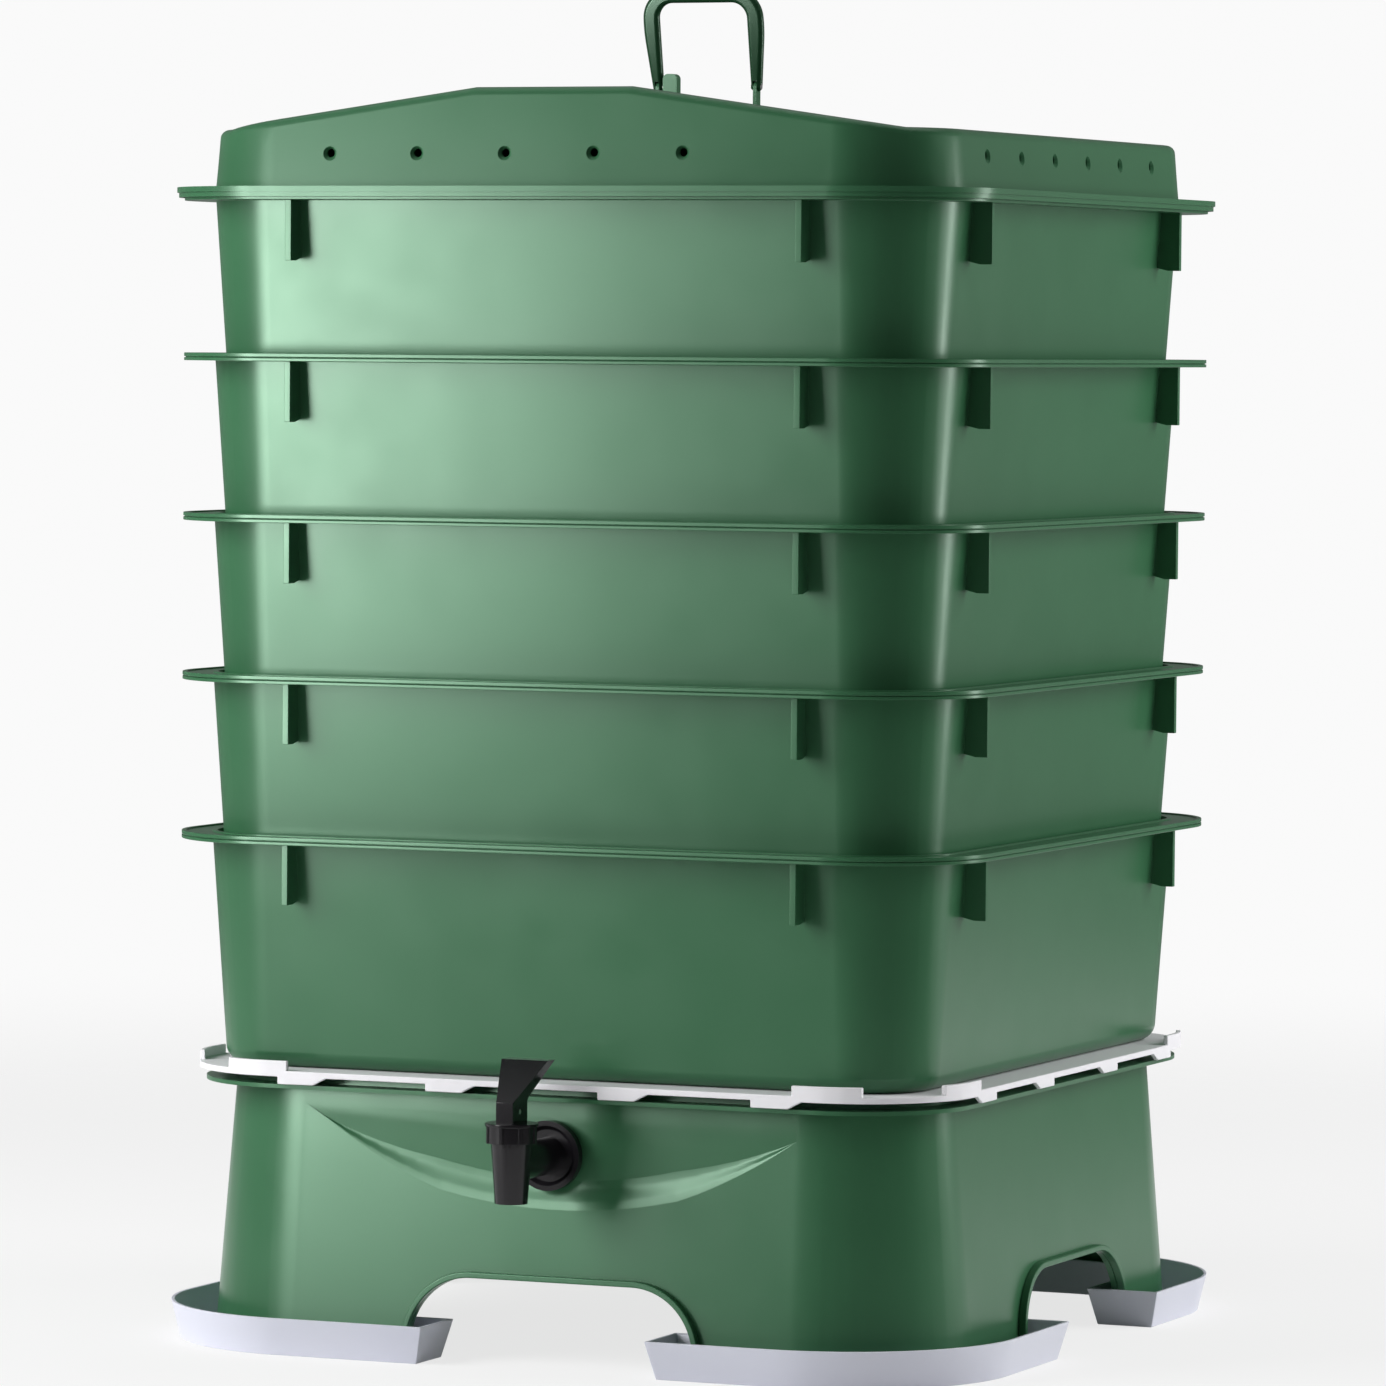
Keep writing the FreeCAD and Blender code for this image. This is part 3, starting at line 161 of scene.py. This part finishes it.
def soft_rubber(name):
    material, tree, shader, position = new_material(name)
    tone = noise(tree, position, 60.0, 3.0)
    blacks = mixed_colour(tree, tone, (0.014, 0.014, 0.014), (0.022, 0.021, 0.02))
    tree.links.new(blacks, shader.inputs["Base Color"])
    tree.links.new(between(tree, tone, 0.6, 0.75), shader.inputs["Roughness"])
    add_bump(tree, shader, ((noise(tree, position, 1400.0, 2.0), 0.00001),))
    return material


def drawn_steel(name):
    """Drawn wire and pins, with fine lines along X."""
    material, tree, shader, position = new_material(name)
    lines = noise(tree, position, 500.0, 3.0, stretch=(0.05, 1, 1))
    tree.links.new(mixed_colour(tree, lines, (0.5, 0.5, 0.51), (0.6, 0.6, 0.6)), shader.inputs["Base Color"])
    tree.links.new(between(tree, lines, 0.28, 0.42), shader.inputs["Roughness"])
    shader.inputs["Metallic"].default_value = 1.0
    add_bump(tree, shader, ((lines, 0.000008),))
    return material


GREEN = moulded_plastic("green_moulded_plastic", (0.030, 0.112, 0.050), (0.034, 0.122, 0.056), (0.28, 0.33),
                        tint=GREEN_SHEEN)
WHITE = moulded_plastic("white_moulded_plastic", (0.76, 0.75, 0.78), (0.80, 0.79, 0.82), (0.42, 0.5),
                        specular=0.25, subsurface=0.1)
PAN = moulded_plastic("pale_pan_plastic", (0.60, 0.61, 0.70), (0.66, 0.67, 0.75), (0.34, 0.42), specular=0.3,
                      subsurface=0.15)
# The handle is the same green plastic as the rest. Its colour is a darker copy of that green, as painted shade,
# because it reads dark where it stands against the background.
HANDLE_SHADED_GREEN = moulded_plastic("handle_painted_shade_plastic", (0.012, 0.045, 0.020), (0.015, 0.052, 0.024),
                               (0.24, 0.3), tint=GREEN_SHEEN)
BLACK = moulded_plastic("black_moulded_plastic", (0.006, 0.005, 0.007), (0.010, 0.009, 0.011), (0.17, 0.23),
                        specular=0.4)
RUBBER = soft_rubber("black_rubber")
STEEL = drawn_steel("drawn_steel")


# Pieces

def soft_edged(node, body, material, offset, keep_sharp=None, reshape=None):
    """The node's form as one closed skin inside its own box, with its edges rounded over as moulded ones are."""
    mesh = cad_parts[node].data.copy()
    mesh.materials.clear()
    mesh.materials.append(material)
    form = bmesh.new()
    form.from_mesh(mesh)
    limits = [(min(places), max(places)) for places in zip(*(corner.co for corner in form.verts))]
    bmesh.ops.remove_doubles(form, verts=form.verts, dist=MERGE)
    bmesh.ops.dissolve_limit(form, angle_limit=FLAT_ANGLE, verts=form.verts, edges=form.edges)
    if reshape:
        reshape(form)
    corners = [edge for edge in form.edges
               if edge.is_manifold and edge.calc_face_angle(0) > CREASE
               and not (keep_sharp and keep_sharp(edge))]
    bmesh.ops.bevel(form, geom=corners, offset=offset, offset_type="OFFSET", segments=3, profile=0.5,
                    affect="EDGES", clamp_overlap=True, material=-1)
    for corner in form.verts:
        corner.co = [min(max(place, low), high) for place, (low, high) in zip(corner.co, limits)]
    for face in form.faces:
        face.smooth = True
    for edge in form.edges:
        edge.smooth = not edge.is_manifold or edge.calc_face_angle(0) < CREASE
    form.to_mesh(mesh)
    form.free()
    piece = bpy.data.objects.new(node + "_skin", mesh)
    bpy.context.scene.collection.objects.link(piece)
    even = piece.modifiers.new("even_shading", "WEIGHTED_NORMAL")
    even.keep_sharp = True
    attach(piece, body)
    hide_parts(node)


def of_drain_hole(edge):
    """Edges of the drain holes, which stay crisp."""
    return all(max(abs(end.co.x), abs(end.co.y - AXIS_Y)) < DRAIN_FIELD_HALF for end in edge.verts)


def slant_tabs(form):
    """Cuts the lower corner at one end of each of the drain frame's hanging tabs to a slant."""

    def at_end(along):
        return min(abs(along - end) for end in TAB_ENDS) < 0.0005

    for corner in form.verts:
        x, y, z = corner.co
        y -= AXIS_Y
        if z > TABS_BELOW:
            continue
        if abs(y) > TABS_FROM and at_end(x):
            corner.co.x -= TAB_SLANT
        elif abs(x) > TABS_FROM and at_end(-y):
            corner.co.y += TAB_SLANT


def wall_front(z):
    """The stand's sloping front face at a height."""
    return AXIS_Y - STAND_TOP_HALF - (STAND_TOP - z) * STAND_SLOPE


def soften_flat(form):
    """Spreads the step under the tap's flat into a soft fold that fades towards its ends."""
    flat = AXIS_Y - FLAT_BACK

    def from_centre(corner):
        return Vector((corner.co.x - FLAT_CENTRE[0], corner.co.z - FLAT_CENTRE[1]))

    def on_step(corner):
        on_circle = abs(from_centre(corner).length - FLAT_RADIUS) < 0.0002
        return on_circle and corner.co.z < FOLD_BELOW and corner.co.y < flat + 0.0001

    risers = [edge for edge in form.edges
              if all(on_step(end) for end in edge.verts)
              and sum(abs(end.co.y - flat) < 0.00003 for end in edge.verts) == 1]
    bmesh.ops.subdivide_edges(form, edges=risers, cuts=FOLD_CUTS, use_grid_fill=True)
    for corner in [corner for corner in form.verts if on_step(corner)]:
        out = from_centre(corner)
        depth = max(flat - wall_front(corner.co.z), 0.00001)
        share = min(1.0, max(0.0, (flat - corner.co.y) / depth))
        place = 0.5 - math.sin(math.asin(1 - 2 * share) / 3)
        fade = min(1.0, max(0.0, FOLD_REACH - abs(out.x)) / FOLD_FADE)
        if fade > 0:
            moved = out.normalized() * FOLD_WIDTH * fade * (place - 0.4)
            corner.co.x += moved.x
            corner.co.z += moved.y
            corner.co.y = flat + share * (wall_front(corner.co.z) - flat)


for tray in TRAYS:
    soft_edged(tray, tray, GREEN, 0.0005, keep_sharp=of_drain_hole)
soft_edged("lid", "lid", GREEN, 0.0005)
soft_edged("collector_stand", "stand", GREEN, 0.0006, reshape=soften_flat)
soft_edged("handle", "handle", HANDLE_SHADED_GREEN, 0.0003)
soft_edged("drain_frame", "frame", WHITE, 0.0005, reshape=slant_tabs)
for collar in COLLARS:
    soft_edged(collar, "stand", GREEN, 0.0006)
for pan in PANS:
    soft_edged(pan, "moats", PAN, 0.0005)
soft_edged("tap_body", "stand", BLACK, 0.0004)
soft_edged("tap_bonnet", "stand", BLACK, 0.0003)
soft_edged("tap_lever", "lever", BLACK, 0.0006)
soft_edged("tap_nut", "stand", BLACK, 0.0004)

FINISHES = {
    BLACK: ("tap_stem",),
    RUBBER: ("tap_outer_washer", "tap_inner_washer", "tap_seat_cup"),
    STEEL: ("handle_pins", "tap_lever_pin", "tap_spring"),
}
for material, nodes in FINISHES.items():
    for node in nodes:
        mesh_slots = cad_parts[node].data.materials
        mesh_slots.clear()
        mesh_slots.append(material)


# Floor, light and camera

BACKGROUND = 0.955
MIDDLE_HEIGHT = 0.32
SCREEN_TOP = 2.2
PHOTO_PX = 1386


def add_math(tree, operation, first, second):
    node = tree.nodes.new("ShaderNodeMath")
    node.operation = operation
    for socket, source in zip(node.inputs, (first, second)):
        if isinstance(source, float):
            socket.default_value = source
        else:
            tree.links.new(source, socket)
    return node.outputs["Value"]


def seen_directly(tree):
    """1 for the camera and for what gloss and glass show, 0 for the light that a surface gives off."""
    path = tree.nodes.new("ShaderNodeLightPath")
    gloss = add_math(tree, "MAXIMUM", path.outputs["Is Glossy Ray"], path.outputs["Is Transmission Ray"])
    return add_math(tree, "MAXIMUM", path.outputs["Is Camera Ray"], gloss)


def mix_shaders(tree, factor, first, second):
    mix = tree.nodes.new("ShaderNodeMixShader")
    for socket, source in zip(mix.inputs, (factor, first, second)):
        tree.links.new(source, socket)
    return mix.outputs["Shader"]


def make_world(fill):
    world = bpy.data.worlds.new("studio")
    bpy.context.scene.world = world
    world.use_nodes = True
    tree = world.node_tree
    soft = tree.nodes["Background"]
    soft.inputs["Color"].default_value = (1, 1, 1, 1)
    soft.inputs["Strength"].default_value = fill
    pale = tree.nodes.new("ShaderNodeBackground")
    pale.inputs["Color"].default_value = (BACKGROUND, BACKGROUND, BACKGROUND, 1)
    shown = mix_shaders(tree, seen_directly(tree), soft.outputs["Background"], pale.outputs["Background"])
    tree.links.new(shown, tree.nodes["World Output"].inputs["Surface"])


def glow(tree, tone):
    emission = tree.nodes.new("ShaderNodeEmission")
    emission.inputs["Color"].default_value = (tone, tone, tone, 1)
    return emission.outputs["Emission"]


def make_floor(tone, share, solid_to, gone_at):
    """A round pale floor that fades into the background; share of what is seen is the background's tone."""
    disc = bmesh.new()
    bmesh.ops.create_circle(disc, cap_ends=True, segments=64, radius=gone_at)
    mesh = bpy.data.meshes.new("floor")
    disc.to_mesh(mesh)
    disc.free()
    floor = bpy.data.objects.new("floor", mesh)
    bpy.context.scene.collection.objects.link(floor)
    material, tree, shader, position = new_material("pale_floor")
    shader.inputs["Base Color"].default_value = (tone, tone, tone, 1)
    shader.inputs["Roughness"].default_value = 0.8
    shader.inputs["Specular IOR Level"].default_value = 0.1
    length = tree.nodes.new("ShaderNodeVectorMath")
    length.operation = "LENGTH"
    tree.links.new(position, length.inputs[0])
    fade = tree.nodes.new("ShaderNodeMapRange")
    fade.interpolation_type = "SMOOTHSTEP"
    fade.inputs["From Min"].default_value = solid_to
    fade.inputs["From Max"].default_value = gone_at
    tree.links.new(length.outputs["Value"], fade.inputs["Value"])
    clear = tree.nodes.new("ShaderNodeBsdfTransparent")
    lit = add_math(tree, "MULTIPLY", seen_directly(tree), share)
    pale = mix_shaders(tree, lit, shader.outputs["BSDF"], glow(tree, BACKGROUND))
    shown = mix_shaders(tree, fade.outputs["Result"], pale, clear.outputs["BSDF"])
    tree.links.new(shown, tree.nodes["Material Output"].inputs["Surface"])
    mesh.materials.append(material)


def around(azimuth, elevation, distance):
    """A place at a distance from the middle of the object, and the way out to it; azimuth 0 is in front."""
    turn = math.radians(azimuth)
    rise = math.radians(elevation)
    out = Vector((math.sin(turn) * math.cos(rise), -math.cos(turn) * math.cos(rise), math.sin(rise)))
    return Vector((0, AXIS_Y, MIDDLE_HEIGHT)) + out * distance, out


def soft_box(name, azimuth, elevation, distance, width, height, brightness):
    """A rectangular lamp that faces the middle of the object."""
    lamp = bpy.data.lights.new(name, "AREA")
    lamp.shape = "RECTANGLE"
    lamp.size = width
    lamp.size_y = height
    lamp.energy = brightness * math.pi * width * height
    rig = bpy.data.objects.new(name, lamp)
    bpy.context.scene.collection.objects.link(rig)
    rig.location, out = around(azimuth, elevation, distance)
    rig.rotation_mode = "QUATERNION"
    rig.rotation_quaternion = (-out).to_track_quat("-Z", "Y")
    return rig


def dark_screen(name, first, last, distance, tone):
    """An upright curved screen that only the gloss of the object shows, as a studio's dark flags."""
    steps = 24
    screen = bmesh.new()
    rows = []
    for step in range(steps + 1):
        place, _ = around(first + (last - first) * step / steps, 0, distance)
        rows.append([screen.verts.new((place.x, place.y, level)) for level in (0, SCREEN_TOP)])
    for here, there in zip(rows, rows[1:]):
        screen.faces.new((here[0], there[0], there[1], here[1]))
    mesh = bpy.data.meshes.new(name)
    screen.to_mesh(mesh)
    screen.free()
    material, tree, _, _ = new_material(name)
    tree.links.new(glow(tree, tone), tree.nodes["Material Output"].inputs["Surface"])
    mesh.materials.append(material)
    card = bpy.data.objects.new(name, mesh)
    bpy.context.scene.collection.objects.link(card)
    card.visible_camera = False
    card.visible_diffuse = False
    card.visible_shadow = False
    card.visible_transmission = False


def make_camera(yaw, pitch, roll, distance, aim_height, aim_right, focal_px):
    """The photograph's camera: yaw round the object, looking down by pitch, with a slight roll."""
    turn = math.radians(yaw)
    dip = math.radians(pitch)
    lean = math.radians(roll)
    forward = Vector((-math.sin(turn) * math.cos(dip), math.cos(turn) * math.cos(dip), -math.sin(dip)))
    level = Vector((math.cos(turn), math.sin(turn), 0))
    above = level.cross(forward)
    right = level * math.cos(lean) + above * math.sin(lean)
    up = above * math.cos(lean) - level * math.sin(lean)
    target = Vector((0, AXIS_Y, aim_height)) + level * aim_right
    data = bpy.data.cameras.new("photo_view")
    data.sensor_width = 36.0
    data.lens = focal_px / PHOTO_PX * data.sensor_width
    data.clip_start = 0.1
    data.clip_end = 100
    camera = bpy.data.objects.new("photo_view", data)
    bpy.context.scene.collection.objects.link(camera)
    facing = Matrix((right, up, -forward)).transposed().to_4x4()
    camera.matrix_world = Matrix.Translation(target - forward * distance) @ facing
    bpy.context.scene.camera = camera


bpy.context.scene.view_settings.view_transform = "Standard"
make_world(fill=0.13)
make_floor(tone=0.9, share=0.8, solid_to=0.8, gone_at=2.2)
for name, azimuth, elevation, brightness in (("left_fill", -50, 20, 7.2), ("right_fill", 118, 15, 5.5)):
    fill = soft_box(name, azimuth, elevation, 1.6, 1.2, 1.2, brightness)
    fill.visible_glossy = False
for name, azimuth, width, brightness in (("left_panel", -31.5, 0.38, 25.5), ("right_strip", 123, 0.25, 9.0)):
    panel = soft_box(name, azimuth, 4.2, 1.35, width, 0.54, brightness)
    panel.visible_diffuse = False
dark_screen("front_screen", -20, 104, 0.75, 0.07)
dark_screen("rear_screen", 104, 340, 1.45, 0.2)
make_camera(yaw=23.021, pitch=2.601, roll=0.459, distance=3.89565, aim_height=0.317476, aim_right=-0.004986,
            focal_px=7729.6)
